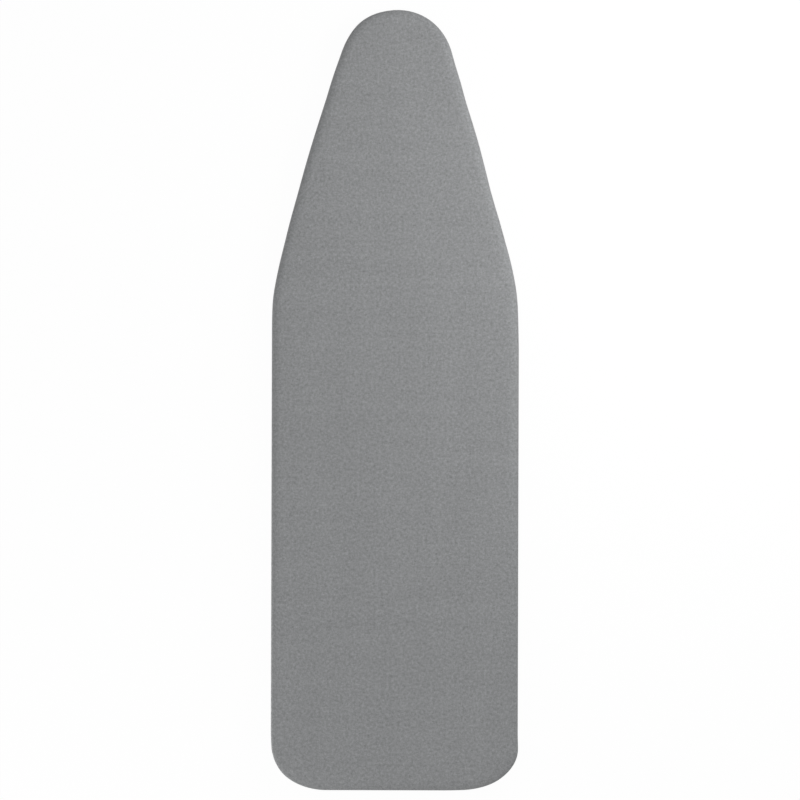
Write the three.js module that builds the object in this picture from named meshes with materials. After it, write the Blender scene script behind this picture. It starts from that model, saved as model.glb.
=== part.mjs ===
// Fitted ironing board cover: a padded cotton cover, turned in under the board and drawn up by an
// elastic hem, with three hook-and-loop straps across its mouth.
// Millimetres. +Y runs to the nose, +Z is the ironing face, +X is the right-hand side.
import * as THREE from 'three';

// Outline of the cover, seen from above
const COVER_LENGTH = 1200;
const COVER_WIDTH = 380;
const NOSE_RADIUS = 89;
const TAPER_LENGTH = 490; // from the nose tip to where the sides run parallel
const SHOULDER_RADIUS = 440;
const CORNER_ACROSS = 86; // half axes of the elliptical tail corners
const CORNER_ALONG = 66;

// Cloth, pads and the board that they wrap
const FABRIC = 0.8;
const FOAM_DEPTH = 5;
const FELT_DEPTH = 4;
const BOARD_RIM = 24;
const EDGE_ROLL = 10; // outer radius over the pads' top edge
const TURN_ROLL = 5; // outer radius round the board's lower edge
const LAYER_GAP = 0.3; // clearance between pieces that touch

// Turned-in band under the board
const HEM_NOSE_INSET = 62; // from the nose tip to the hem's edge
const HEM_NOSE_RADIUS = 32;
const HEM_CORNER_RADIUS = 44;
const RISE_RUN = 12; // how far in the band takes to rise off the turned edge
const BAND_MARGIN = 12; // flat band left outside the straps' ends
const NOSE_GATHERS = 7;
const CORNER_GATHERS = 5;
const GATHER_HEIGHT = 3.5;

// Hem binding and the elastic in it
const TAPE = 0.6;
const BINDING_FLANGE = 9; // overlap on the band
const ELASTIC_DIAMETER = 3;

// Straps
const STRAP_WIDTH = 38;
const STRAP_LIFT = 0.7; // straps' lower face above the turned edge
const WEBBING = 1.4;
const HOOK_TAPE_DEPTH = 1.4;
const LOOP_TAPE_DEPTH = 1.6;
const GRIP_TAPE_WIDTH = 34; // hook and loop tape, across the strap
const HOOK_TAPE_LENGTH = 26;
const LOOP_TAPE_LENGTH = 28;
const SEAM_MARGIN = 3; // from the binding out to what is sewn on the band
const RAMP_MARGIN = 6; // from the binding out to where the webbing leaves the band
const SWING_SETBACK = 1; // from the hem's edge out to the fold that the strap swings on
const TAB_LEAD = 2; // plain webbing between the tab's fold and its hook tape
const TAB_GRIP = 4; // plain webbing past the hook tape
const NOSE_STRAP_SETBACK = 330; // from the nose tip to the strap's middle
const TAIL_STRAP_SETBACK = 230; // from the tail

// Fineness of the curves
const ARC_STEPS = { nose: 18, shoulder: 5, corner: 8 };
const STEPS_PER_GATHER = 6;
const GATHER_STEPS = {
  nose: NOSE_GATHERS * STEPS_PER_GATHER,
  shoulder: ARC_STEPS.shoulder,
  corner: CORNER_GATHERS * STEPS_PER_GATHER,
};
const ROLL_STEPS = 4;
const RISE_STEPS = 3;
const BAND_STEPS = 4;
const ELASTIC_SIDES = 8;
const LOOP_STEPS = 7; // binding's round, over the elastic
const RAMP_STEPS = 4;

// Heights, from the turned edge up to the ironing face
const boardTop = FABRIC + BOARD_RIM;
const foamBottom = boardTop + FELT_DEPTH + LAYER_GAP;
const foamTop = foamBottom + FOAM_DEPTH;
const faceHeight = foamTop + LAYER_GAP + FABRIC;
const rollCentre = faceHeight - EDGE_ROLL;

// Levels under the band, from the straps up
const strapTop = STRAP_LIFT + WEBBING;
const hookBottom = strapTop + LAYER_GAP;
const loopBottom = hookBottom + HOOK_TAPE_DEPTH + LAYER_GAP;
const sewnTop = loopBottom + LOOP_TAPE_DEPTH;
const bandHeight = sewnTop + LAYER_GAP;

// Places across the band, out from the hem's edge
const loopSetback = BINDING_FLANGE + SEAM_MARGIN;
const rampSetback = BINDING_FLANGE + RAMP_MARGIN;
const strapReach = loopSetback + HOOK_TAPE_LENGTH + TAB_GRIP;
const hemInset = TURN_ROLL + RISE_RUN + BAND_MARGIN + strapReach;

// A board-shaped outline as a path of lines and arcs, run anticlockwise from the nose's right end.
function boardPath({ noseTip, noseRadius, halfWidth, parallelFrom, shoulderRadius, tail, across, along }) {
  const noseY = noseTip - noseRadius;
  const shoulderX = halfWidth - shoulderRadius;
  // the taper is the line that touches both the nose arc and the shoulder arc
  const toShoulder = new THREE.Vector2(shoulderX, parallelFrom - noseY);
  const swing = Math.acos((noseRadius - shoulderRadius) / toShoulder.length());
  const taper = Math.atan2(toShoulder.y, toShoulder.x) + swing;
  const cornerX = halfWidth - across;
  const cornerY = tail + along;
  const path = new THREE.Path();
  path.absarc(0, noseY, noseRadius, taper, Math.PI - taper, false);
  path.absarc(-shoulderX, parallelFrom, shoulderRadius, Math.PI - taper, Math.PI, false);
  path.absellipse(-cornerX, cornerY, across, along, Math.PI, 1.5 * Math.PI, false);
  path.absellipse(cornerX, cornerY, across, along, 1.5 * Math.PI, 2 * Math.PI, false);
  path.absarc(shoulderX, parallelFrom, shoulderRadius, 0, taper, false);
  return path;
}

// Stations round a path: the ends of its straight runs and the steps of its arcs, each with the
// bend that it lies on and how far along that bend it is.
function stationsOf(path, steps) {
  const bends = path.curves.filter((curve) => curve.isEllipseCurve);
  const kinds = ['nose', 'shoulder', 'corner', 'corner', 'shoulder'];
  return bends.flatMap((bend, b) => {
    const count = steps[kinds[b]];
    return Array.from({ length: count + 1 }, (_, i) => {
      const tangent = bend.getTangent(i / count);
      return {
        point: bend.getPoint(i / count),
        outward: new THREE.Vector2(tangent.y, -tangent.x),
        kind: kinds[b],
        along: i / count,
      };
    });
  });
}

const coverPath = boardPath({
  noseTip: COVER_LENGTH / 2,
  noseRadius: NOSE_RADIUS,
  halfWidth: COVER_WIDTH / 2,
  parallelFrom: COVER_LENGTH / 2 - TAPER_LENGTH,
  shoulderRadius: SHOULDER_RADIUS,
  tail: -COVER_LENGTH / 2,
  across: CORNER_ACROSS,
  along: CORNER_ALONG,
});
const hemPath = boardPath({
  noseTip: COVER_LENGTH / 2 - HEM_NOSE_INSET,
  noseRadius: HEM_NOSE_RADIUS,
  halfWidth: COVER_WIDTH / 2 - hemInset,
  parallelFrom: COVER_LENGTH / 2 - TAPER_LENGTH,
  shoulderRadius: SHOULDER_RADIUS - hemInset,
  tail: -COVER_LENGTH / 2 + hemInset,
  across: HEM_CORNER_RADIUS,
  along: HEM_CORNER_RADIUS,
});

// Half the mouth's width at a given place along the cover
function hemHalfWidth(y) {
  const ring = stationsOf(hemPath, ARC_STEPS).map((station) => station.point);
  const next = ring.findIndex((point, i) => i > 0 && point.x < 0 && point.y <= y && ring[i - 1].y >= y);
  const above = ring[next - 1];
  const below = ring[next];
  return -THREE.MathUtils.mapLinear(y, above.y, below.y, above.x, below.x);
}

// A closed body from a chain of rings with the same number of points. The chain either closes on
// itself or is capped at both ends.
function loft(rings, closesOnItself) {
  const count = rings[0].length;
  const index = [];
  const spans = closesOnItself ? rings.length : rings.length - 1;
  for (let k = 0; k < spans; k++) {
    const here = k * count;
    const there = ((k + 1) % rings.length) * count;
    for (let i = 0; i < count; i++) {
      const j = (i + 1) % count;
      index.push(here + i, there + i, there + j);
      index.push(here + i, there + j, here + j);
    }
  }
  if (!closesOnItself) {
    const last = (rings.length - 1) * count;
    for (const [a, b, c] of THREE.ShapeUtils.triangulateShape(rings[0], [])) {
      index.push(a, b, c);
    }
    for (const [a, b, c] of THREE.ShapeUtils.triangulateShape(rings[rings.length - 1], [])) {
      index.push(last + a, last + c, last + b);
    }
  }
  const geometry = new THREE.BufferGeometry();
  geometry.setFromPoints(rings.flat());
  geometry.setIndex(index);
  geometry.computeVertexNormals();
  return geometry;
}

// One ring, a set distance in from the stations and at one height
function insetRing(stations, inset, z) {
  return stations.map(({ point, outward }) => {
    const moved = point.clone().addScaledVector(outward, -inset);
    return new THREE.Vector3(moved.x, moved.y, z);
  });
}

// Rings round a quarter roll, from angle a to angle b, counted from straight out to straight up
function rollRings(stations, radius, centreInset, centreZ, a, b) {
  return Array.from({ length: ROLL_STEPS + 1 }, (_, i) => {
    const angle = THREE.MathUtils.lerp(a, b, i / ROLL_STEPS);
    return insetRing(stations, centreInset - radius * Math.cos(angle), centreZ + radius * Math.sin(angle));
  });
}

// Rings of the turned-in band: up from the turned edge, across the gathers, and flat through the
// binding to the hem's edge. One side of the cloth lies at lift above the other.
function bandRings(outer, hem, lift) {
  const bandZ = lift + bandHeight;
  const start = insetRing(outer, TURN_ROLL, lift);
  const riseEnd = insetRing(outer, TURN_ROLL + RISE_RUN, bandZ);
  const bound = insetRing(hem, -BINDING_FLANGE - LAYER_GAP, bandZ);
  const rings = [];
  for (let k = 1; k <= RISE_STEPS; k++) {
    const t = k / RISE_STEPS;
    const z = lift + bandHeight * THREE.MathUtils.smoothstep(t, 0, 1);
    rings.push(start.map((point, i) => point.clone().lerp(riseEnd[i], t).setZ(z)));
  }
  for (let k = 1; k <= BAND_STEPS; k++) {
    const t = k / BAND_STEPS;
    rings.push(riseEnd.map((point, i) => {
      const gather = GATHER_HEIGHT * gatherWave(outer[i]) * Math.sin(Math.PI * t);
      return point.clone().lerp(bound[i], t).setZ(bandZ + gather);
    }));
  }
  rings.push(insetRing(hem, 0, bandZ));
  return rings;
}

// Height of the gathers round a bend, from 0 in the valleys to 1 on the crests
function gatherWave({ kind, along }) {
  const counts = { nose: NOSE_GATHERS, shoulder: 0, corner: CORNER_GATHERS };
  return (1 - Math.cos(2 * Math.PI * counts[kind] * along)) / 2;
}

function coverFabric() {
  const outer = stationsOf(coverPath, GATHER_STEPS);
  const hem = stationsOf(hemPath, GATHER_STEPS);
  const quarter = Math.PI / 2;
  const outside = [
    ...rollRings(outer, EDGE_ROLL, EDGE_ROLL, rollCentre, quarter, 0),
    ...rollRings(outer, TURN_ROLL, TURN_ROLL, TURN_ROLL, 0, -quarter),
    ...bandRings(outer, hem, 0),
  ];
  const inside = [
    ...rollRings(outer, EDGE_ROLL - FABRIC, EDGE_ROLL, rollCentre, quarter, 0),
    ...rollRings(outer, TURN_ROLL - FABRIC, TURN_ROLL, TURN_ROLL, 0, -quarter),
    ...bandRings(outer, hem, FABRIC),
  ];
  return loft([...outside, ...inside.reverse()], false);
}

// A pad cut to the cover's outline, its edge following the inside of the edge roll and the skirt
function pad(bottom, top) {
  const stations = stationsOf(coverPath, ARC_STEPS);
  const radius = EDGE_ROLL - FABRIC - LAYER_GAP;
  const edge = Array.from({ length: ROLL_STEPS + 1 }, (_, i) => {
    const z = THREE.MathUtils.lerp(top, bottom, i / ROLL_STEPS);
    const rise = THREE.MathUtils.clamp((z - rollCentre) / radius, 0, 1);
    return insetRing(stations, EDGE_ROLL - radius * Math.sqrt(1 - rise * rise), z);
  });
  return loft(edge, false);
}

const clothMiddle = bandHeight + FABRIC / 2;
const tunnelRadius = ELASTIC_DIAMETER / 2 + LAYER_GAP;
const slotHalf = FABRIC / 2 + LAYER_GAP;
const tunnelInset = LAYER_GAP + tunnelRadius; // elastic's centre, in from the hem's edge

// A ring body of one cross-section, given as points in from the hem's edge and up from the cloth
function hemBody(section) {
  const stations = stationsOf(hemPath, ARC_STEPS);
  return loft(section.map(([inset, up]) => insetRing(stations, inset, clothMiddle + up)), true);
}

// Folded tape: a flange on each side of the cloth, joined by a round over the elastic
function hemBinding() {
  const round = (radius, half) => {
    const open = Math.PI - Math.asin(half / radius);
    return Array.from({ length: LOOP_STEPS + 1 }, (_, i) => {
      const angle = THREE.MathUtils.lerp(open, -open, i / LOOP_STEPS);
      return [tunnelInset + radius * Math.cos(angle), radius * Math.sin(angle)];
    });
  };
  const outside = [
    [-BINDING_FLANGE, slotHalf + TAPE],
    ...round(tunnelRadius + TAPE, slotHalf + TAPE),
    [-BINDING_FLANGE, -slotHalf - TAPE],
  ];
  const inside = [
    [-BINDING_FLANGE, slotHalf],
    ...round(tunnelRadius, slotHalf),
    [-BINDING_FLANGE, -slotHalf],
  ];
  return hemBody([...outside, ...inside.reverse()].reverse());
}

function hemElastic() {
  const section = Array.from({ length: ELASTIC_SIDES }, (_, i) => {
    const angle = (2 * Math.PI * i) / ELASTIC_SIDES;
    const radius = ELASTIC_DIAMETER / 2;
    return [tunnelInset + radius * Math.cos(angle), radius * Math.sin(angle)];
  });
  return hemBody(section);
}

// A strip across the mouth: its side profile, pulled out to a width about the strap's middle
function strip(profile, width) {
  const geometry = new THREE.ExtrudeGeometry(new THREE.Shape(profile), {
    depth: width,
    bevelEnabled: false,
  });
  geometry.translate(0, 0, -width / 2);
  geometry.rotateX(Math.PI / 2);
  return geometry;
}

function flatProfile(fromX, toX, bottom, depth) {
  const low = Math.min(fromX, toX);
  const high = Math.max(fromX, toX);
  return [
    new THREE.Vector2(low, bottom),
    new THREE.Vector2(high, bottom),
    new THREE.Vector2(high, bottom + depth),
    new THREE.Vector2(low, bottom + depth),
  ];
}

// The sewn end: flat on the band, then down in an easy ramp to the strap's level
function anchorProfile(hemX) {
  const sewnBottom = sewnTop - WEBBING;
  const ramp = Array.from({ length: RAMP_STEPS + 1 }, (_, i) => {
    const t = i / RAMP_STEPS;
    const setback = THREE.MathUtils.lerp(rampSetback, SWING_SETBACK, t);
    const drop = (sewnBottom - STRAP_LIFT) * THREE.MathUtils.smoothstep(t, 0, 1);
    return new THREE.Vector2(hemX + setback, sewnBottom - drop);
  });
  const bottom = [new THREE.Vector2(hemX + strapReach, sewnBottom), ...ramp];
  const top = bottom.map((point) => new THREE.Vector2(point.x, point.y + WEBBING));
  return [...bottom.reverse(), ...top];
}

// One strap: sewn on the right-hand band, closed on the left-hand band
function strapPieces(name, y) {
  const hemX = Math.max(hemHalfWidth(y - STRAP_WIDTH / 2), hemHalfWidth(y + STRAP_WIDTH / 2));
  const swingX = hemX + SWING_SETBACK;
  const loopX = -(hemX + loopSetback);
  const hookEnd = loopX - HOOK_TAPE_LENGTH;
  const loopEnd = loopX - LOOP_TAPE_LENGTH;
  const peelX = loopX + TAB_LEAD;
  const group = new THREE.Group();
  group.position.y = y;
  const webbing = { colour: 0x3a3b3e, roughness: 0.85 };
  const hooks = { colour: 0x2b2c2f, roughness: 0.6 };
  const span = flatProfile(swingX - LAYER_GAP, peelX, STRAP_LIFT, WEBBING);
  const tab = flatProfile(peelX - LAYER_GAP, -(hemX + strapReach), STRAP_LIFT, WEBBING);
  const hookTape = flatProfile(loopX, hookEnd, hookBottom, HOOK_TAPE_DEPTH);
  const loopTape = flatProfile(loopX, loopEnd, loopBottom, LOOP_TAPE_DEPTH);
  group.add(named(`strap_${name}_anchor`, strip(anchorProfile(hemX), STRAP_WIDTH), webbing));
  group.add(named(`strap_${name}_webbing`, strip(span, STRAP_WIDTH), webbing));
  group.add(named(`strap_${name}_tab`, strip(tab, STRAP_WIDTH), webbing));
  group.add(named(`strap_${name}_hook_tape`, strip(hookTape, GRIP_TAPE_WIDTH), hooks));
  group.add(named(`strap_${name}_loop_tape`, strip(loopTape, GRIP_TAPE_WIDTH), webbing));
  return group;
}

function named(name, geometry, { colour, roughness }) {
  const material = new THREE.MeshStandardMaterial({ color: colour, roughness, metalness: 0 });
  const mesh = new THREE.Mesh(geometry, material);
  mesh.name = name;
  return mesh;
}

const cover = new THREE.Group();
cover.add(named('cover_fabric', coverFabric(), { colour: 0x8a8b8d, roughness: 0.8 }));
cover.add(named('foam_pad', pad(foamBottom, foamTop), { colour: 0xe8e2d2, roughness: 0.95 }));
cover.add(named('felt_pad', pad(boardTop, boardTop + FELT_DEPTH), { colour: 0xcfcac0, roughness: 1 }));
cover.add(named('hem_binding', hemBinding(), { colour: 0x5c5d60, roughness: 0.85 }));
cover.add(named('hem_elastic', hemElastic(), { colour: 0xe6e6e4, roughness: 0.7 }));
const noseStrapY = COVER_LENGTH / 2 - NOSE_STRAP_SETBACK;
const tailStrapY = -COVER_LENGTH / 2 + TAIL_STRAP_SETBACK;
cover.add(strapPieces('nose', noseStrapY));
cover.add(strapPieces('middle', (noseStrapY + tailStrapY) / 2));
cover.add(strapPieces('tail', tailStrapY));

export default cover;
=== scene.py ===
import math
import random

import bmesh
import bpy
from mathutils import Matrix, Vector, kdtree, noise


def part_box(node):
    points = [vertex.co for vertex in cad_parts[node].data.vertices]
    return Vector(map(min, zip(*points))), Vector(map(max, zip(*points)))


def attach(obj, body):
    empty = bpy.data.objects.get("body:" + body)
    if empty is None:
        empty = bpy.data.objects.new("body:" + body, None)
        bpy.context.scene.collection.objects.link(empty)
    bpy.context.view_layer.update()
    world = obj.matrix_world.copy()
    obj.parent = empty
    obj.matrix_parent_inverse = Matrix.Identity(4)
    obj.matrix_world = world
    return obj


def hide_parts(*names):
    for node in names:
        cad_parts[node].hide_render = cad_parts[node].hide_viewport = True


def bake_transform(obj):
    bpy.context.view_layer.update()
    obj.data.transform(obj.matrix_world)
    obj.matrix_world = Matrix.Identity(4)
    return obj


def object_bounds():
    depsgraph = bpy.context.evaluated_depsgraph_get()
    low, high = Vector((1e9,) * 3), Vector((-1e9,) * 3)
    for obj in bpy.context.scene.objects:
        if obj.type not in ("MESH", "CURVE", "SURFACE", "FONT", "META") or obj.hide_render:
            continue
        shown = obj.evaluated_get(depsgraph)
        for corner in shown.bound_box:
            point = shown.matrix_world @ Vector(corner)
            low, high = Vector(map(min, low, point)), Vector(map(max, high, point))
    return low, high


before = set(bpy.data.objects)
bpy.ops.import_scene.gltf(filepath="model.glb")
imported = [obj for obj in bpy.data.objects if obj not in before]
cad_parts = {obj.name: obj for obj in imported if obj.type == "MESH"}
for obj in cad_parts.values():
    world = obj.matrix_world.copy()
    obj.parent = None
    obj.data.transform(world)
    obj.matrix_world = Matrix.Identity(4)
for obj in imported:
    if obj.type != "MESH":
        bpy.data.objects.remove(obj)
cadLow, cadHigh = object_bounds()
scene = bpy.context.scene
scene.view_settings.view_transform = "Standard"

# Camera, straight above, nose at the top of the picture
cameraSetup = {
    "height": 3.2,
    "sensor": 36.0,
    "frameWidth": 1.231,  # width seen at the level of the widest edge
    "edgeLevel": 0.025,
    "slide": (0.0074, 0.0005),
    "roll": math.radians(0.16),
}


def makeCamera():
    data = bpy.data.cameras.new("topCamera")
    data.sensor_width = cameraSetup["sensor"]
    distance = cameraSetup["height"] - cameraSetup["edgeLevel"]
    data.lens = cameraSetup["sensor"] * distance / cameraSetup["frameWidth"]
    made = bpy.data.objects.new("topCamera", data)
    made.location = (*cameraSetup["slide"], cameraSetup["height"])
    made.rotation_euler = (0, 0, cameraSetup["roll"])
    scene.collection.objects.link(made)
    scene.camera = made


makeCamera()
print("camera done")

# Broad light from above, a key low on the right, a weak one past the tail, and one below for the underside
lampSetup = {
    "topLamp": {"place": (0.0, 0.0, 4.2), "size": 2.4, "power": 41.0},
    "keyLamp": {"place": (0.8, 0.54, 0.6), "size": 0.6, "power": 6.5},
    "tailLamp": {"place": (-0.75, -1.15, 0.35), "size": 0.7, "power": 2.9},
    "lowLamp": {"place": (-1.2, -0.7, -0.85), "size": 0.6, "power": 14.0},
}
fillSetup = {"colour": (1.0, 1.0, 1.0, 1), "strength": 0.5}


def makeLamp(name):
    data = bpy.data.lights.new(name, "AREA")
    data.shape = "SQUARE"
    data.size = lampSetup[name]["size"]
    data.energy = lampSetup[name]["power"]
    made = bpy.data.objects.new(name, data)
    made.location = lampSetup[name]["place"]
    made.rotation_euler = (-made.location).to_track_quat("-Z", "Y").to_euler()
    scene.collection.objects.link(made)


for lampName in lampSetup:
    makeLamp(lampName)


def put(tree, kind, inputs=None, **settings):
    node = tree.nodes.new(kind)
    for key, value in settings.items():
        setattr(node, key, value)
    for key, value in (inputs or {}).items():
        if isinstance(value, bpy.types.NodeSocket):
            tree.links.new(value, node.inputs[key])
        else:
            node.inputs[key].default_value = value
    return node


def calc(tree, operation, first, second=None, third=None):
    inputs = {0: first}
    if second is not None:
        inputs[1] = second
    if third is not None:
        inputs[2] = third
    return put(tree, "ShaderNodeMath", inputs, operation=operation).outputs[0]


def scaled(tree, vector, factor):
    return put(tree, "ShaderNodeVectorMath", {0: vector, "Scale": factor}, operation="SCALE").outputs[0]


def stretched(tree, vector, stretch):
    return put(tree, "ShaderNodeVectorMath", {0: vector, 1: stretch}, operation="MULTIPLY").outputs[0]


def noiseTone(tree, vector, scale, **settings):
    return put(tree, "ShaderNodeTexNoise", {"Vector": vector, "Scale": scale, **settings}).outputs[0]


def choose(tree, mask, off, on):
    return put(tree, "ShaderNodeMix", {0: mask, 2: off, 3: on}, data_type="FLOAT").outputs[0]


def seenByCamera(tree):
    path = put(tree, "ShaderNodeLightPath")
    seen = calc(tree, "MAXIMUM", path.outputs["Is Camera Ray"], path.outputs["Is Glossy Ray"])
    return calc(tree, "MAXIMUM", seen, path.outputs["Is Transmission Ray"])


def makeWorld():
    world = bpy.data.worlds.new("studio")
    scene.world = world
    world.use_nodes = True
    tree = world.node_tree
    tree.nodes.clear()
    white = put(tree, "ShaderNodeBackground", {"Color": (1, 1, 1, 1), "Strength": 1.0})
    fill = put(
        tree, "ShaderNodeBackground", {"Color": fillSetup["colour"], "Strength": fillSetup["strength"]}
    )
    seen = seenByCamera(tree)
    mixed = put(tree, "ShaderNodeMixShader", {0: seen, 1: fill.outputs[0], 2: white.outputs[0]})
    put(tree, "ShaderNodeOutputWorld", {"Surface": mixed.outputs[0]})


def keepMesh(name, bm):
    mesh = bpy.data.meshes.new(name)
    bm.to_mesh(mesh)
    bm.free()
    return mesh


def newObject(name, bm, material, smooth=True):
    mesh = keepMesh(name, bm)
    mesh.polygons.foreach_set("use_smooth", [smooth] * len(mesh.polygons))
    mesh.materials.append(material)
    made = bpy.data.objects.new(name, mesh)
    scene.collection.objects.link(made)
    return made


# The floor is white with a faint shadow where it is seen from above, and clear to everything else
floorSetup = {"half": 6.0, "level": -0.0004, "shadowShare": 0.04, "paint": (0.9, 0.9, 0.9, 1)}


def makeFloorWhite():
    made = bpy.data.materials.new("floorWhite")
    made.use_nodes = True
    tree = made.node_tree
    tree.nodes.clear()
    glow = put(tree, "ShaderNodeEmission", {"Color": (1, 1, 1, 1), "Strength": 1.0})
    paint = put(tree, "ShaderNodeBsdfDiffuse", {"Color": floorSetup["paint"]})
    shaded = put(
        tree, "ShaderNodeMixShader", {0: floorSetup["shadowShare"], 1: glow.outputs[0], 2: paint.outputs[0]}
    )
    clear = put(tree, "ShaderNodeBsdfTransparent")
    facing = put(tree, "ShaderNodeNewGeometry")
    front = calc(tree, "SUBTRACT", 1.0, facing.outputs["Backfacing"])
    shown = calc(tree, "MULTIPLY", seenByCamera(tree), front)
    surface = put(tree, "ShaderNodeMixShader", {0: shown, 1: clear.outputs[0], 2: shaded.outputs[0]})
    put(tree, "ShaderNodeOutputMaterial", {"Surface": surface.outputs[0]})
    return made


def makeFloor():
    bm = bmesh.new()
    bmesh.ops.create_grid(bm, x_segments=2, y_segments=2, size=floorSetup["half"])
    bmesh.ops.translate(bm, verts=bm.verts[:], vec=(0, 0, floorSetup["level"]))
    floor = newObject("floor", bm, makeFloorWhite())


makeWorld()
makeFloor()
print("lights and floor done")


# Node groups that several finishes share
def makeGroup(name, inputs, outputs):
    group = bpy.data.node_groups.new(name, "ShaderNodeTree")
    group.interface.new_socket(name="Place", in_out="INPUT", socket_type="NodeSocketVector")
    for label, value in inputs.items():
        socket = group.interface.new_socket(name=label, in_out="INPUT", socket_type="NodeSocketFloat")
        socket.default_value = value
    for label in outputs:
        group.interface.new_socket(name=label, in_out="OUTPUT", socket_type="NodeSocketFloat")
    source = group.nodes.new("NodeGroupInput")
    sink = group.nodes.new("NodeGroupOutput")
    return group, source, sink


def useGroup(tree, group, place, finish):
    # the finish gives the group its inputs, under the same names
    node = put(tree, "ShaderNodeGroup", {"Place": place}, node_tree=group)
    for socket in node.inputs:
        if socket.name.lower() in finish:
            socket.default_value = finish[socket.name.lower()]
    return node.outputs


weaveSetup = {
    "crown": 0.4,  # below 1 a yarn stays high along its crown
    "apart": 3.37,  # how far neighbouring yarns lie apart in the noise that tints them
    "levels": (5.3, 25.7),  # where in that noise the two directions of yarn lie
}


def makeWeaveGroup():
    # plain weave: each cell shows a warp or a weft yarn, turn and turn about, and each yarn changes tone
    group, source, sink = makeGroup("plainWeave", {"Pitch": 0.0006, "Streak": 0.003}, ["Height", "Yarn"])
    turn = calc(group, "DIVIDE", math.pi, source.outputs["Pitch"])
    axes = put(group, "ShaderNodeSeparateXYZ", {0: scaled(group, source.outputs["Place"], turn)})
    waveX = calc(group, "SINE", axes.outputs[0])
    waveY = calc(group, "SINE", axes.outputs[1])
    ridgeX = calc(group, "ABSOLUTE", waveX)
    ridgeY = calc(group, "ABSOLUTE", waveY)
    isWarp = calc(group, "GREATER_THAN", calc(group, "MULTIPLY", waveX, waveY), 0.0)
    warp = calc(group, "MULTIPLY", ridgeX, calc(group, "POWER", ridgeY, weaveSetup["crown"]))
    weft = calc(group, "MULTIPLY", ridgeY, calc(group, "POWER", ridgeX, weaveSetup["crown"]))
    group.links.new(choose(group, isWarp, weft, warp), sink.inputs["Height"])
    spread = calc(group, "DIVIDE", 1.0, source.outputs["Streak"])
    run = put(group, "ShaderNodeSeparateXYZ", {0: scaled(group, source.outputs["Place"], spread)})
    tones = []
    for axis, level in enumerate(weaveSetup["levels"]):
        number = calc(group, "FLOOR", calc(group, "DIVIDE", axes.outputs[axis], math.pi))
        apart = calc(group, "MULTIPLY", number, weaveSetup["apart"])
        inputs = {axis: apart, 1 - axis: run.outputs[1 - axis], 2: level}
        yarn = put(group, "ShaderNodeCombineXYZ", inputs)
        tones.append(noiseTone(group, yarn.outputs[0], 1.0, Detail=1.0))
    mixed = choose(group, isWarp, tones[1], tones[0])
    group.links.new(calc(group, "SUBTRACT", mixed, 0.5), sink.inputs["Yarn"])
    return group


# Scales of the noise, in X, Y and Z where there are three: small where a mark runs long
speckleSetup = {
    "broadScale": 22.0,
    "slubs": (620.0, 26.0, 620.0),
    "weftBands": (3.0, 42.0, 1.0),
    "warpBands": (20.0, 2.5, 1.0),
}


def makeSpeckleGroup():
    # fine uneven yarn colour, broad mottling, long slubs and faint bands, as factors about 1
    amounts = {"Grain": 430.0, "Fine": 0.4, "Broad": 0.05, "Slub": 0.05, "Bands": 0.0}
    group, source, sink = makeGroup("yarnSpeckle", amounts, ["Tone"])
    place = source.outputs["Place"]
    fine = noiseTone(group, place, source.outputs["Grain"], Detail=1.0, Roughness=0.5)
    broad = noiseTone(group, place, speckleSetup["broadScale"], Detail=2.0, Roughness=0.5)
    textures = [(fine, "Fine"), (broad, "Broad")]
    for name, amount in (("slubs", "Slub"), ("weftBands", "Bands"), ("warpBands", "Bands")):
        long = stretched(group, place, speckleSetup[name])
        textures.append((noiseTone(group, long, 1.0, Detail=1.0), amount))
    tone = 1.0
    for texture, amount in textures:
        centred = calc(group, "SUBTRACT", texture, 0.5)
        tone = calc(group, "MULTIPLY_ADD", centred, source.outputs[amount], tone)
    group.links.new(tone, sink.inputs["Tone"])
    return group


weaveGroup = makeWeaveGroup()
speckleGroup = makeSpeckleGroup()


def startMaterial(name, finish):
    made = bpy.data.materials.new(name)
    made.use_nodes = True
    tree = made.node_tree
    shader = tree.nodes["Principled BSDF"]
    shader.inputs["Base Color"].default_value = (*finish["colour"], 1)
    for socket, value in finish["shader"].items():
        shader.inputs[socket].default_value = value
    return made, tree, shader


def dressMaterial(tree, shader, finish, tone, height):
    # the colour, made lighter and darker by the tone, and the relief
    tree.links.new(scaled(tree, finish["colour"], tone), shader.inputs["Base Color"])
    strength, depth = finish["relief"]
    bump = put(tree, "ShaderNodeBump", {"Height": height, "Strength": strength, "Distance": depth})
    tree.links.new(bump.outputs[0], shader.inputs["Normal"])


def objectPlace(tree):
    return put(tree, "ShaderNodeTexCoord").outputs["Object"]


def cutPlace(tree):
    return put(tree, "ShaderNodeAttribute", attribute_name="cut").outputs["Vector"]


# In every finish, relief is strength and depth, and a tone pair is the pattern's factor and what it adds to
cottonFinish = {
    "colour": (0.2455, 0.2505, 0.2545),
    "shader": {"Roughness": 0.78, "Specular IOR Level": 0.3, "Sheen Weight": 0.08, "Sheen Roughness": 0.5},
    "relief": (0.45, 0.00014),
    "grain": 240.0,
    "fine": 0.60,
    "broad": 0.03,
    "slub": 0.03,
    "bands": 0.09,
    "pitch": 0.00066,
    "streak": 0.0034,
    "yarnTint": 1.1,
    # painted shade: darker in the weave's gaps, lighter on the yarn crests
    "weaveTone": (0.26, 0.845),
    "roughTone": (-0.12, 0.90),
}


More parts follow.
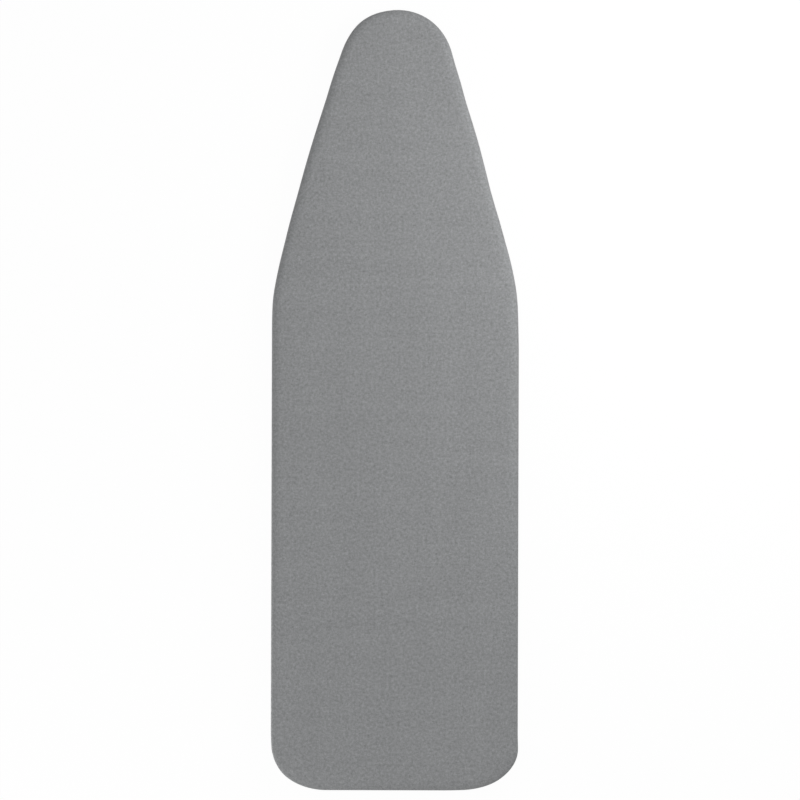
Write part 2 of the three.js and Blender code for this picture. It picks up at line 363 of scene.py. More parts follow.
def makeCotton():
    made, tree, shader = startMaterial("coatedCotton", cottonFinish)
    place = cutPlace(tree)
    weave = useGroup(tree, weaveGroup, place, cottonFinish)
    speckle = useGroup(tree, speckleGroup, place, cottonFinish)["Tone"]
    # painted shade: the colour follows the weave's height, darker in the gaps between yarns and lighter on
    # their crests
    paintedGapShade = calc(tree, "MULTIPLY_ADD", weave["Height"], *cottonFinish["weaveTone"])
    melange = calc(tree, "MULTIPLY_ADD", weave["Yarn"], cottonFinish["yarnTint"], speckle)
    rough = calc(tree, "MULTIPLY_ADD", speckle, *cottonFinish["roughTone"])
    tree.links.new(rough, shader.inputs["Roughness"])
    dressMaterial(tree, shader, cottonFinish, calc(tree, "MULTIPLY", melange, paintedGapShade), weave["Height"])
    return made


feltFinish = {
    "colour": (0.58, 0.56, 0.52),
    "shader": {"Roughness": 0.95, "Specular IOR Level": 0.15},
    "relief": (0.7, 0.0006),
    "grain": 260.0,
    "fine": 0.45,
    "broad": 0.18,
    "slub": 0.0,
    "fibre": 900.0,
    "fibreTone": (0.5, 0.75),
    "strand": (2100.0, 210.0, 1.0),
    "strandFrom": 0.70,
    "strands": [(0.5, -0.28), (1.7, -0.2), (2.6, 0.2), (-0.4, -0.15), (1.1, 0.15)],  # heading, tint
}


def makeFelt():
    made, tree, shader = startMaterial("needleFelt", feltFinish)
    place = objectPlace(tree)
    fibre = noiseTone(tree, place, feltFinish["fibre"], Detail=3.0, Distortion=2.5)
    fibreTone = calc(tree, "MULTIPLY_ADD", fibre, *feltFinish["fibreTone"])
    tone = calc(tree, "MULTIPLY", useGroup(tree, speckleGroup, place, feltFinish)["Tone"], fibreTone)
    # dark and pale strands lying every way
    for heading, tint in feltFinish["strands"]:
        inputs = {"Vector": place, "Angle": heading}
        turned = put(tree, "ShaderNodeVectorRotate", inputs, rotation_type="Z_AXIS").outputs[0]
        long = stretched(tree, turned, feltFinish["strand"])
        strand = noiseTone(tree, long, 1.0, Detail=0.0, Distortion=1.6)
        shown = calc(tree, "GREATER_THAN", strand, feltFinish["strandFrom"])
        tone = calc(tree, "MULTIPLY", tone, calc(tree, "MULTIPLY_ADD", shown, tint, 1.0))
    dressMaterial(tree, shader, feltFinish, tone, fibre)
    return made


foamFinish = {
    "colour": (0.76, 0.70, 0.55),
    "shader": {"Roughness": 0.9, "Specular IOR Level": 0.2},
    "relief": (0.6, 0.0005),
    "pores": 900.0,
    # painted shade: darker in the pits of the pores
    "paintedPoreShade": (0.5, 0.72),
}


def makeFoam():
    made, tree, shader = startMaterial("softFoam", foamFinish)
    inputs = {"Vector": objectPlace(tree), "Scale": foamFinish["pores"]}
    pores = put(tree, "ShaderNodeTexVoronoi", inputs).outputs["Distance"]
    # painted shade: the colour follows the pore relief, darker in the pits
    tone = calc(tree, "MULTIPLY_ADD", pores, *foamFinish["paintedPoreShade"])
    dressMaterial(tree, shader, foamFinish, tone, pores)
    return made


tapeFinish = {
    "colour": (0.105, 0.107, 0.112),
    "shader": {"Roughness": 0.85, "Specular IOR Level": 0.25, "Sheen Weight": 0.1},
    "relief": (0.5, 0.00015),
    "grain": 700.0,
    "fine": 0.5,
    "broad": 0.3,
    "slub": 0.0,
    "twill": 0.0011,
    # painted shade: darker in the twill's grooves, lighter on its ridges
    "twillTone": (0.35, 0.8),
}


def makeTape():
    made, tree, shader = startMaterial("bindingTwill", tapeFinish)
    place = cutPlace(tree)
    axes = put(tree, "ShaderNodeSeparateXYZ", {0: place})
    slant = calc(tree, "ADD", axes.outputs[0], axes.outputs[1])
    wave = calc(tree, "SINE", calc(tree, "MULTIPLY", slant, 2 * math.pi / tapeFinish["twill"]))
    ridge = calc(tree, "MULTIPLY_ADD", wave, 0.5, 0.5)
    speckle = useGroup(tree, speckleGroup, place, tapeFinish)["Tone"]
    # painted shade: the colour follows the twill ridge, darker in its grooves and lighter on its ridges
    tone = calc(tree, "MULTIPLY", speckle, calc(tree, "MULTIPLY_ADD", ridge, *tapeFinish["twillTone"]))
    dressMaterial(tree, shader, tapeFinish, tone, ridge)
    return made


webFinish = {
    "colour": (0.045, 0.046, 0.05),
    "shader": {"Roughness": 0.8, "Specular IOR Level": 0.35, "Sheen Weight": 0.15},
    "relief": (0.6, 0.0002),
    "grain": 520.0,
    "fine": 0.5,
    "broad": 0.2,
    "slub": 0.2,
    "pitch": 0.0009,
    # painted shade: darker in the weave's hollows, lighter on its crests
    "weaveTone": (0.6, 0.62),
}


def makeWeb():
    made, tree, shader = startMaterial("strapWebbing", webFinish)
    place = cutPlace(tree)
    height = useGroup(tree, weaveGroup, place, webFinish)["Height"]
    speckle = useGroup(tree, speckleGroup, place, webFinish)["Tone"]
    # painted shade: the colour follows the weave's height, darker in its hollows and lighter on its crests
    tone = calc(tree, "MULTIPLY", speckle, calc(tree, "MULTIPLY_ADD", height, *webFinish["weaveTone"]))
    dressMaterial(tree, shader, webFinish, tone, height)
    return made


# Finishes that have no pattern but the speckle
plainSpeckle = {"broad": 0.1, "slub": 0.0}
plainFinishes = {
    "elasticBraid": {
        "colour": (0.75, 0.75, 0.73),
        "shader": {"Roughness": 0.7, "Specular IOR Level": 0.3},
        "relief": (0.5, 0.0002),
        "grain": 1500.0,
        "fine": 0.5,
    },
    "hookNylon": {
        "colour": (0.03, 0.03, 0.034),
        "shader": {"Roughness": 0.45, "Specular IOR Level": 0.45},
        "relief": (0.5, 0.00005),
        "grain": 900.0,
        "fine": 0.4,
    },
    "loopPile": {
        "colour": (0.04, 0.041, 0.045),
        "shader": {"Roughness": 0.9, "Specular IOR Level": 0.2},
        "relief": (0.5, 0.0003),
        "grain": 1200.0,
        "fine": 0.7,
    },
    "sewingThread": {
        "colour": (0.26, 0.264, 0.272),
        "shader": {"Roughness": 0.65, "Specular IOR Level": 0.3},
        "relief": (0.5, 0.00005),
        "grain": 3000.0,
        "fine": 0.5,
    },
}


def makePlain(name):
    finish = {**plainSpeckle, **plainFinishes[name]}
    made, tree, shader = startMaterial(name, finish)
    tone = useGroup(tree, speckleGroup, objectPlace(tree), finish)["Tone"]
    dressMaterial(tree, shader, finish, tone, tone)
    return made


cotton = makeCotton()
felt = makeFelt()
foam = makeFoam()
tape = makeTape()
webbing = makeWeb()
elasticBraid = makePlain("elasticBraid")
hookNylon = makePlain("hookNylon")
loopPile = makePlain("loopPile")
thread = makePlain("sewingThread")
print("finishes done")

# Outline of the cover and of its mouth, in metres
coverShape = {
    "noseTip": cadHigh.y,
    "noseRadius": 0.089,
    "halfWidth": cadHigh.x,
    "parallelFrom": cadHigh.y - 0.490,
    "shoulderRadius": 0.440,
    "tail": cadLow.y,
    "across": 0.086,
    "along": 0.066,
    "pulls": [
        (-1.215, 0.040, -0.0016),
        (-0.507, 0.040, 0.0008),
        (-0.390, 0.060, 0.0008),
        (-0.290, 0.170, 0.0032),
        (-0.165, 0.030, 0.0004),
        (-0.102, 0.048, -0.0019),
        (-0.045, 0.040, 0.0006),
        (0.045, 0.075, 0.0014),
        (0.165, 0.035, 0.0005),
        (0.255, 0.080, 0.0014),
        (0.350, 0.050, -0.0007),
        (0.440, 0.080, -0.0006),
        (0.542, 0.050, -0.0007),
        (1.215, 0.040, 0.0008),
        (1.300, 0.045, -0.0009),
    ],  # where the cloth sits out or in: run from the nose tip (left is minus), reach each way, amount
}
hemInset = 0.071
hemShape = {
    "noseTip": cadHigh.y - 0.062,
    "noseRadius": 0.032,
    "halfWidth": cadHigh.x - hemInset,
    "parallelFrom": coverShape["parallelFrom"],
    "shoulderRadius": coverShape["shoulderRadius"] - hemInset,
    "tail": cadLow.y + hemInset,
    "across": 0.044,
    "along": 0.044,
    "pulls": [],
}


def arcRun(centre, across, along, startAngle, endAngle, steps):
    run = []
    for step in range(steps):
        angle = startAngle + (endAngle - startAngle) * step / steps
        point = Vector((centre[0] + across * math.cos(angle), centre[1] + along * math.sin(angle), 0))
        outward = Vector((math.cos(angle) / across, math.sin(angle) / along, 0)).normalized()
        run.append((point, outward))
    return run


def lineRun(start, end, outward, steps, lead, fromEnd=False):
    # lead below 1 sets the stations closer at the start of the line, or at its end
    run = []
    for step in range(steps):
        t = 1 - step / steps if fromEnd else step / steps
        t *= lead + (1 - lead) * t
        run.append((Vector(start).lerp(Vector(end), 1 - t if fromEnd else t), Vector(outward)))
    return run


def outlineStations(shape, steps):
    # from the nose tip down the right-hand side to the tail, and back up the left
    noseY = shape["noseTip"] - shape["noseRadius"]
    noseRadius, shoulderRadius = shape["noseRadius"], shape["shoulderRadius"]
    shoulderX = shape["halfWidth"] - shoulderRadius
    reach = Vector((shoulderX, shape["parallelFrom"] - noseY))
    lean = math.atan2(reach.y, reach.x) + math.acos((noseRadius - shoulderRadius) / reach.length)
    slope = Vector((math.cos(lean), math.sin(lean), 0))
    taperStart = Vector((0, noseY, 0)) + slope * noseRadius
    taperEnd = Vector((shoulderX, shape["parallelFrom"], 0)) + slope * shoulderRadius
    cornerX = shape["halfWidth"] - shape["across"]
    cornerY = shape["tail"] + shape["along"]
    lead = steps.get("lead", 1.0)
    half = arcRun((0, noseY), noseRadius, noseRadius, math.pi / 2, lean, steps["nose"])
    half += lineRun(taperStart, taperEnd, slope, steps["taper"], lead)
    half += arcRun(
        (shoulderX, shape["parallelFrom"]), shoulderRadius, shoulderRadius, lean, 0, steps["shoulder"]
    )
    sideX = shape["halfWidth"]
    sideStart = (sideX, shape["parallelFrom"], 0)
    half += lineRun(sideStart, (sideX, cornerY, 0), (1, 0, 0), steps["side"], lead, True)
    half += arcRun((cornerX, cornerY), shape["across"], shape["along"], 0, -math.pi / 2, steps["corner"])
    half += lineRun((cornerX, shape["tail"], 0), (0, shape["tail"], 0), (0, -1, 0), steps["tail"], lead)
    half.append((Vector((0, shape["tail"], 0)), Vector((0, -1, 0))))
    mirrored = [(Vector((-p.x, p.y, 0)), Vector((-n.x, n.y, 0))) for p, n in half[-2:0:-1]]
    return pulledStations(half + mirrored, shape["pulls"])


def pulledStations(stations, pulls):
    lengths, whole = closedLengths([point for point, outward in stations])
    pulled = []
    for (point, outward), length in zip(stations, lengths):
        fromTip = length if length < whole / 2 else length - whole
        amount = 0.0
        for middle, reach, most in pulls:
            near = max(1 - abs(fromTip - middle) / reach, 0.0)
            amount += most * math.sin(math.pi / 2 * near) ** 2
        pulled.append((point + outward * amount, outward))
    return pulled


def smoothStep(low, high, value):
    t = min(max((value - low) / (high - low), 0.0), 1.0)
    return t * t * (3 - 2 * t)


def offsetPoints(stations, outwards, level):
    return [point + outward * outwards + Vector((0, 0, level)) for point, outward in stations]


def faceGrid(bm, points, corner, layer):
    # a grid stretched over a closed outline, its corners a few stations from the nose tip and the tail;
    # the layer keeps each edge point's station
    count = len(points)
    across = 2 * corner
    along = count // 2 - across
    made = bmesh.ops.create_grid(bm, x_segments=across, y_segments=along, size=1.0)["verts"]

    def station(i, j):
        if j == along:
            return (i - corner) % count
        if j == 0:
            return count - corner - along - i
        return (corner + along - j) if i == across else (j - corner - along) % count

    ends = [points[station(i, j)] for i, j in ((0, 0), (across, 0), (0, along), (across, along))]
    for vert in made:
        i = round((vert.co.x + 1) / 2 * across)
        j = round((vert.co.y + 1) / 2 * along)
        u, v = i / across, j / along
        rows = points[station(i, 0)] * (1 - v) + points[station(i, along)] * v
        columns = points[station(0, j)] * (1 - u) + points[station(across, j)] * u
        base = (ends[0] * (1 - u) + ends[1] * u) * (1 - v) + (ends[2] * (1 - u) + ends[3] * u) * v
        vert.co = rows + columns - base
        onEdge = i in (0, across) or j in (0, along)
        vert[layer] = station(i, j) if onEdge else -1
    return made


def extrudeRing(bm, edges):
    made = bmesh.ops.extrude_edge_only(bm, edges=edges)["geom"]
    fresh = [part for part in made if isinstance(part, bmesh.types.BMVert)]
    known = set(fresh)
    rim = [
        part
        for part in made
        if isinstance(part, bmesh.types.BMEdge) and part.verts[0] in known and part.verts[1] in known
    ]
    return fresh, rim


def runLengths(points):
    lengths = [0.0]
    for here, there in zip(points, points[1:]):
        lengths.append(lengths[-1] + (there - here).length)
    return lengths


def closedLengths(points):
    # the run to each point of a closed line, and the whole way round
    lengths = runLengths(points)
    return lengths, lengths[-1] + (points[0] - points[-1]).length


# Where the straps cross, and how far the band stays flat beside them
strapPlaces = {"nose": 0.270, "middle": -0.050, "tail": -0.370}
strapCalm = (0.024, 0.050)

hemWaves = {
    "nosePitch": 0.0060,
    "cornerPitch": 0.0076,
    "straightPitch": 0.019,
    "fade": 0.075,  # how far the gathers run on past the bends
    "lap": 0.004,  # how far into a corner they come to full strength
    "drift": 0.11,  # how fast the changes below go on from wave to wave
    "wander": {"middle": 0.0, "swing": 0.55, "rate": 1.0, "seed": 3.7},
    "swell": {"middle": 0.72, "swing": 0.55, "rate": 1.7, "seed": 9.1},
    "reach": {"middle": 0.30, "swing": 0.55, "rate": 1.3, "seed": 20.3},
    "reachLimits": (0.02, 0.62),
}


def drifted(drift, change):
    spot = drift * change["rate"] + Vector((0, 0, change["seed"]))
    return change["middle"] + change["swing"] * noise.noise(spot)


def hemGathers(steps):
    # for each station: how strong the gathers are, their phase, and how calm the band must be
    hem = outlineStations(hemShape, steps)
    points = [point for point, outward in hem]
    lengths, whole = closedLengths(points)
    half = len(points) // 2
    noseEnd = lengths[steps["nose"]]
    cornerStart = lengths[steps["nose"] + steps["taper"] + steps["shoulder"] + steps["side"]]
    cornerEnd = lengths[half - steps["tail"]]
    gathers = []
    phase = 0.0
    for index, point in enumerate(points):
        fromTip = min(lengths[index], whole - lengths[index])
        nose = 1 - smoothStep(noseEnd, noseEnd + hemWaves["fade"], fromTip)
        before = smoothStep(cornerStart - hemWaves["fade"], cornerStart + hemWaves["lap"], fromTip)
        after = smoothStep(cornerEnd - hemWaves["lap"], cornerEnd + hemWaves["fade"], fromTip)
        corner = before * (1 - after)
        strength = max(nose, corner)
        tight = hemWaves["nosePitch"] if nose > corner else hemWaves["cornerPitch"]
        pitch = hemWaves["straightPitch"] + (tight - hemWaves["straightPitch"]) * strength
        if index:
            phase += (lengths[index] - lengths[index - 1]) / pitch
        calm = min(smoothStep(*strapCalm, abs(point.y - place)) for place in strapPlaces.values())
        gathers.append({"strength": strength, "phase": phase, "calm": calm, "nose": nose})
    waves = round(phase)  # a whole number of waves, so the ring closes
    least, most = hemWaves["reachLimits"]
    for gather in gathers:
        turn = gather["phase"] * (waves / phase)
        around = 2 * math.pi * turn / waves
        drift = Vector((math.cos(around), math.sin(around), 0)) * waves * hemWaves["drift"]
        gather["turn"] = turn + drifted(drift, hemWaves["wander"])
        gather["swell"] = drifted(drift, hemWaves["swell"])
        gather["reach"] = min(max(drifted(drift, hemWaves["reach"]), least), most)
    return gathers


# The cover itself: one sheet, over the pads, down the skirt and in under the board
coverCloth = {
    "steps": {"nose": 72, "taper": 86, "shoulder": 14, "side": 136, "corner": 68, "tail": 34, "lead": 0.4},
    "gridCorner": 24,
    "thickness": 0.0008,
    "edgeDown": 0.010,
    "edgeAcross": 0.015,
    "turnRoll": 0.005,
    "riseRun": 0.012,
    "bandLevel": 0.0060,
    "flange": 0.0093,
    "rollRings": 7,
    "wallRings": 4,
    "turnRings": 4,
    "riseRings": 3,
    "bandRings": 16,
    "flangeRings": 1,
    "noseHeight": 0.0052,
    "cornerHeight": 0.0042,
    "straightHeight": 0.0016,
    "pucker": 0.0008,
    "faceDip": 0.0006,
    "dipRun": 0.05,  # from the face's edge to the full dip
    "dipScale": (9, 5, 4.2),  # across and along, and the level in the noise
    "dipNoise": (1.0, 2.0, 2),  # roughness, step in scale, layers
}

# How the gathers lie across the band, as shares of it from its rise (0) to the binding (1)
bandFolds = {
    "sharp": 1.4,  # above 1 the crests are narrower than the dips
    "crestMiddle": 0.30,
    "fineTo": 0.85,
    "noseReach": 0.5,  # at the nose the fine gathers start earlier by this share
    "foldWaves": 3,  # gathers to a broad fold
    "foldPhase": 1.3,
    "foldMiddle": 0.40,
    "foldShare": 0.6,
    "foldRun": (0.0, 0.40),
    "slackRun": (0.45, 0.90),
    "heldRun": (0.90, 1.0),
    "sway": 0.35,
}


def bandOffset(gather, t):
    dims = coverCloth
    folds = bandFolds
    turn = 2 * math.pi * gather["turn"]
    crest = (0.5 - 0.5 * math.cos(turn)) ** folds["sharp"]
    fold = 0.5 - 0.5 * math.cos(turn / folds["foldWaves"] + folds["foldPhase"])
    tight = dims["cornerHeight"] + (dims["noseHeight"] - dims["cornerHeight"]) * gather["nose"]
    fineFrom = gather["reach"] * (1 - folds["noseReach"] * gather["nose"])
    fine = (crest - folds["crestMiddle"]) * smoothStep(fineFrom, folds["fineTo"], t)
    broad = folds["foldShare"] * (fold - folds["foldMiddle"]) * smoothStep(*folds["foldRun"], t)
    gathered = gather["strength"] * tight * (fine + broad)
    slack = (1 - gather["strength"]) * gather["calm"] * dims["straightHeight"] * crest
    slack *= smoothStep(*folds["slackRun"], t)
    held = 1 - smoothStep(*folds["heldRun"], t)
    return -(gathered + slack) * gather["swell"] * held


def foldedRing(outer, gathers, inset, level, tuck, lift):
    # a ring set in from the outline, and drawn in and lifted more where the skirt has broad folds
    ring = []
    for (point, outward), gather in zip(outer, gathers):
        wave = 0.5 - 0.5 * math.cos(2 * math.pi * gather["turn"] / bandFolds["foldWaves"])
        pucker = coverCloth["pucker"] * gather["strength"] * wave
        ring.append(point - outward * (inset + pucker * tuck) + Vector((0, 0, level + pucker * lift)))
    return ring


def coverRings(outer, hem, gathers):
    # every ring below the face, as a list of points
    dims = coverCloth
    faceLevel = cadHigh.z
    rollLevel = faceLevel - dims["edgeDown"]
    rings = []
    for k in range(1, dims["rollRings"] + 1):
        angle = math.pi / 2 * k / dims["rollRings"]
        inset = dims["edgeAcross"] * (1 - math.sin(angle))
        rings.append(offsetPoints(outer, -inset, rollLevel + dims["edgeDown"] * math.cos(angle)))
    for k in range(1, dims["wallRings"] + 1):
        t = k / dims["wallRings"]
        level = rollLevel + (dims["turnRoll"] - rollLevel) * t
        rings.append(foldedRing(outer, gathers, 0.0, level, t * t, 0.0))
    for k in range(1, dims["turnRings"] + 1):
        angle = math.pi / 2 * k / dims["turnRings"]
        inset = dims["turnRoll"] * (1 - math.cos(angle))
        level = dims["turnRoll"] * (1 - math.sin(angle))
        rings.append(foldedRing(outer, gathers, inset, level, math.cos(angle), 1.0))
    start = rings[-1]
    riseEnd = offsetPoints(outer, -dims["turnRoll"] - dims["riseRun"], dims["bandLevel"])
    for k in range(1, dims["riseRings"] + 1):
        t = k / dims["riseRings"]
        ring = []
        for here, there in zip(start, riseEnd):
            point = here.lerp(there, t)
            point.z = here.z + (there.z - here.z) * smoothStep(0, 1, t)
            ring.append(point)
        rings.append(ring)
    bound = offsetPoints(hem, dims["flange"], dims["bandLevel"])
    for k in range(1, dims["bandRings"] + 1):
        t = k / dims["bandRings"]
        ring = []
        for here, there, gather, (_, outward) in zip(riseEnd, bound, gathers, hem):
            point = here.lerp(there, t)
            lift = bandOffset(gather, t)
            sway = bandFolds["sway"] * math.cos(2 * math.pi * gather["turn"]) * lift * gather["strength"]
            point += Vector((-outward.y, outward.x, 0)) * sway
            point.z += lift
            ring.append(point)
        rings.append(ring)
    edge = offsetPoints(hem, 0.0, dims["bandLevel"])
    for k in range(1, dims["flangeRings"] + 1):
        t = k / dims["flangeRings"]
        rings.append([here.lerp(there, t) for here, there in zip(bound, edge)])
    return rings


def makeCoverCloth():
    dims = coverCloth
    outer = outlineStations(coverShape, dims["steps"])
    hem = outlineStations(hemShape, dims["steps"])
    gathers = hemGathers(dims["steps"])
    faceRing = offsetPoints(outer, -dims["edgeAcross"], cadHigh.z)
    bm = bmesh.new()
    stationLayer = bm.verts.layers.int.new("station")
    cutLayer = bm.verts.layers.float_vector.new("cut")
    face = faceGrid(bm, faceRing, dims["gridCorner"], stationLayer)
    nearEdge = kdtree.KDTree(len(faceRing))
    for index, point in enumerate(faceRing):
        nearEdge.insert(point, index)
    nearEdge.balance()
    for vert in face:
        vert[cutLayer] = (vert.co.x, vert.co.y, 0)
        inside = smoothStep(0.0, dims["dipRun"], nearEdge.find(vert.co)[2])
        spot = Vector((vert.co.x, vert.co.y, 1)) * Vector(dims["dipScale"])
        swell = noise.fractal(spot, *dims["dipNoise"])
        vert.co.z -= dims["faceDip"] * inside * (0.5 + 0.5 * swell)
    rings = coverRings(outer, hem, gathers)
    smoothed = [{**gather, "strength": 0.0, "calm": 0.0} for gather in gathers]
    plainRings = coverRings(outer, hem, smoothed)
    edges = [edge for edge in bm.edges if edge.is_boundary]
    spread = [0.0] * len(outer)
    last = faceRing
    for ring, plain in zip(rings, plainRings):
        fresh, edges = extrudeRing(bm, edges)
        spread = [length + (there - here).length for length, here, there in zip(spread, last, plain)]
        for vert in fresh:
            index = vert[stationLayer]
            vert.co = ring[index]
            flat = faceRing[index] + outer[index][1] * spread[index]
            vert[cutLayer] = (flat.x, flat.y, 0)
        last = plain
    cutEdge = [faceRing[k] + outer[k][1] * spread[k] for k in range(len(outer))]
    made = newObject("coverCloth", bm, cotton)
    shell = made.modifiers.new("clothThickness", "SOLIDIFY")
    shell.thickness = dims["thickness"]
    shell.offset = -1
    return made, cutEdge


cover, cutEdge = makeCoverCloth()
print("cover cloth done", len(cover.data.vertices))

# Foam under the face, felt under the foam
padCut = {
    "steps": {"nose": 18, "taper": 20, "shoulder": 8, "side": 44, "corner": 18, "tail": 8},
    "gridCorner": 12,
    "edgeRings": 4,
    "clear": 0.0011,  # from the cloth's outside to the pads
    "underDip": 0.00025,
    "dipScale": (14, 11, 1.5),  # as the cover's
}


def makePad(name, node, material):
    low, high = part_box(node)
    outer = outlineStations(coverShape, padCut["steps"])
    rollLevel = cadHigh.z - coverCloth["edgeDown"]
    rollDown = coverCloth["edgeDown"] - padCut["clear"]
    rollAcross = coverCloth["edgeAcross"] - padCut["clear"]

    def edgeInset(level):
        rise = min(max((level - rollLevel) / rollDown, 0.0), 1.0)
        return coverCloth["edgeAcross"] - rollAcross * math.sqrt(1 - rise * rise)

    bm = bmesh.new()
    layer = bm.verts.layers.int.new("station")
    faceGrid(bm, offsetPoints(outer, -edgeInset(high.z), high.z), padCut["gridCorner"], layer)
    edges = [edge for edge in bm.edges if edge.is_boundary]
    for k in range(1, padCut["edgeRings"] + 1):
        level = high.z + (low.z - high.z) * k / padCut["edgeRings"]
        ring = offsetPoints(outer, -edgeInset(level), level)
        fresh, edges = extrudeRing(bm, edges)
        for vert in fresh:
            vert.co = ring[vert[layer]]
    under = faceGrid(bm, offsetPoints(outer, -edgeInset(low.z), low.z), padCut["gridCorner"], layer)
    for vert in under:
        if vert[layer] < 0:
            swell = noise.noise(Vector((vert.co.x, vert.co.y, 1)) * Vector(padCut["dipScale"]))
            vert.co.z += padCut["underDip"] * (0.5 + 0.5 * swell)
    bmesh.ops.reverse_faces(bm, faces=list({face for vert in under for face in vert.link_faces}))
    bmesh.ops.remove_doubles(bm, verts=bm.verts[:], dist=1e-6)
    return newObject(name, bm, material)


foamPad = makePad("foamPad", "foam_pad", foam)
feltPad = makePad("feltPad", "felt_pad", felt)
print("pads done")


def sweepGrid(name, alongCount, aroundCount, place, material):
    # a grid with one side run along a path and the other round its section, then welded shut
    bm = bmesh.new()
    cutLayer = bm.verts.layers.float_vector.new("cut")
    bmesh.ops.create_grid(bm, x_segments=aroundCount, y_segments=alongCount, size=1.0)
    for vert in bm.verts:
        around = round((vert.co.x + 1) / 2 * aroundCount)
        along = round((vert.co.y + 1) / 2 * alongCount)
        vert.co, vert[cutLayer] = place(along, around)
    bmesh.ops.remove_doubles(bm, verts=bm.verts[:], dist=1e-7)
    bmesh.ops.recalc_face_normals(bm, faces=bm.faces[:])
    return newObject(name, bm, material)


# Folded tape round the mouth, ruched by the elastic in it
bindingTape = {
    "steps": {"nose": 60, "taper": 190, "shoulder": 56, "side": 400, "corner": 60, "tail": 58},
    "tape": 0.0006,
    "flange": 0.009,
    "tunnelRadius": 0.0018,
    "slotHalf": 0.0007,
    "tunnelInset": 0.0021,
    "middle": 0.0064,  # level of the cloth's middle
    "roundSteps": 12,
    "ruchePitch": 0.0058,
    "ruche": 0.00030,
    "flangeWave": 0.00022,
    "unevenness": 0.6,
    "unevenRate": 0.31,  # against the ripple's own
    "unevenSeed": 2.2,
    "stitchIn": 0.0026,  # from the flange's edge
}


def bindingSection():
    # points in from the hem's edge and up from the cloth, once round the folded tape
    dims = bindingTape

    def fold(radius, half):
        opening = math.pi - math.asin(half / radius)
        points = []
        for k in range(dims["roundSteps"] + 1):
            angle = opening - 2 * opening * k / dims["roundSteps"]
            points.append((dims["tunnelInset"] + radius * math.cos(angle), radius * math.sin(angle)))
        return points

    half = dims["slotHalf"]
    thick = half + dims["tape"]
    edge = -dims["flange"]
    outside = [(edge, thick), (edge / 2, thick)]
    outside += fold(dims["tunnelRadius"] + dims["tape"], thick)
    outside += [(edge / 2, -thick), (edge, -thick)]
    inside = [(edge, -half), (edge / 2, -half)]
    inside += fold(dims["tunnelRadius"], half)[::-1]
    inside += [(edge / 2, half), (edge, half)]
    return outside + inside


def bindingWave(turn, inset):
    # the tape's ripple: up and down on the flange, in and out round the elastic
    dims = bindingTape
    share = smoothStep(-dims["flange"], 0.0, inset)
    slow = 1 + dims["unevenness"] * noise.noise(Vector((turn * dims["unevenRate"], dims["unevenSeed"], 0)))
    wave = math.sin(2 * math.pi * turn)
    lift = dims["flangeWave"] * slow * wave * (1 - share)
    swell = dims["ruche"] * slow * wave * share
    return lift, swell


def bindingStations():
    # the hem's stations, the run to each, the whole way round, and how many ripples lie before each
    hem = outlineStations(hemShape, bindingTape["steps"])
    lengths, whole = closedLengths([point for point, outward in hem])
    waves = round(whole / bindingTape["ruchePitch"])
    return hem, lengths, whole, [length / whole * waves for length in lengths]


def makeBinding():
    dims = bindingTape
    hem, lengths, whole, turns = bindingStations()
    section = bindingSection()
    spread = runLengths([Vector((x, y, 0)) for x, y in section])

    def place(along, around):
        index = along % len(hem)
        point, outward = hem[index]
        inset, up = section[around % len(section)]
        lift, swell = bindingWave(turns[index], inset)
        centre = Vector((dims["tunnelInset"], 0))
        away = Vector((inset, up)) - centre
        if inset > 0 and away.length > dims["tunnelRadius"] + dims["tape"] / 2:
            away *= 1 + swell / away.length
            inset, up = centre + away
        spot = point - outward * inset + Vector((0, 0, dims["middle"] + up + lift))
        length = whole if along == len(hem) else lengths[index]
        return spot, Vector((length, spread[around % len(section)], 0))

    return sweepGrid("hemBinding", len(hem), len(section), place, tape)


elasticCord = {"sides": 10, "coarser": 4, "leastSteps": 8}


def makeElastic():
    dims = bindingTape
    sides, least = elasticCord["sides"], elasticCord["leastSteps"]
    steps = {key: max(value // elasticCord["coarser"], least) for key, value in dims["steps"].items()}
    hem = outlineStations(hemShape, steps)
    low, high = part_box("hem_elastic")
    radius = (high.z - low.z) / 2

    def place(along, around):
        point, outward = hem[along % len(hem)]
        angle = 2 * math.pi * around / sides
        inset = dims["tunnelInset"] + radius * math.cos(angle)
        spot = point - outward * inset + Vector((0, 0, dims["middle"] + radius * math.sin(angle)))
        return spot, Vector((along, around, 0))

    return sweepGrid("hemElastic", len(hem), sides, place, elasticBraid)


hemBinding = makeBinding()
hemElastic = makeElastic()
print("hem done")

# Sewn rows: short raised stitches of thread
stitchCut = {"length": 0.0027, "pitch": 0.0033, "radius": 0.00024, "sink": 0.00006, "sides": 6, "rings": 4}


def copyMany(template, spots):
    # one bmesh with a copy of a small mesh at each spot
    bm = bmesh.new()
    for _ in spots:
        bm.from_mesh(template)
    bm.verts.ensure_lookup_table()
    count = len(template.vertices)
    for k, spot in enumerate(spots):
        bmesh.ops.transform(bm, matrix=spot, verts=bm.verts[k * count : (k + 1) * count])
    return bm


def makeStitchMesh():
    bm = bmesh.new()
    bmesh.ops.create_uvsphere(bm, u_segments=stitchCut["sides"], v_segments=stitchCut["rings"], radius=1.0)
    bmesh.ops.rotate(bm, verts=bm.verts[:], cent=(0, 0, 0), matrix=Matrix.Rotation(math.pi / 2, 3, "Y"))
    halves = (stitchCut["length"] / 2, stitchCut["radius"], stitchCut["radius"])
    bmesh.ops.scale(bm, verts=bm.verts[:], vec=halves)
    return keepMesh("stitch", bm)


def stitchSpot(spot, heading):
    along = heading.normalized()
    side = Vector((0, 0, 1)).cross(along)
    turned = Matrix((along, side, Vector((0, 0, 1)))).transposed().to_4x4()
    return Matrix.Translation(spot) @ turned


def stitchLine(start, end):
    start, end = Vector(start), Vector(end)
    count = max(round((end - start).length / stitchCut["pitch"]), 1)
    return [stitchSpot(start.lerp(end, (k + 0.5) / count), end - start) for k in range(count)]


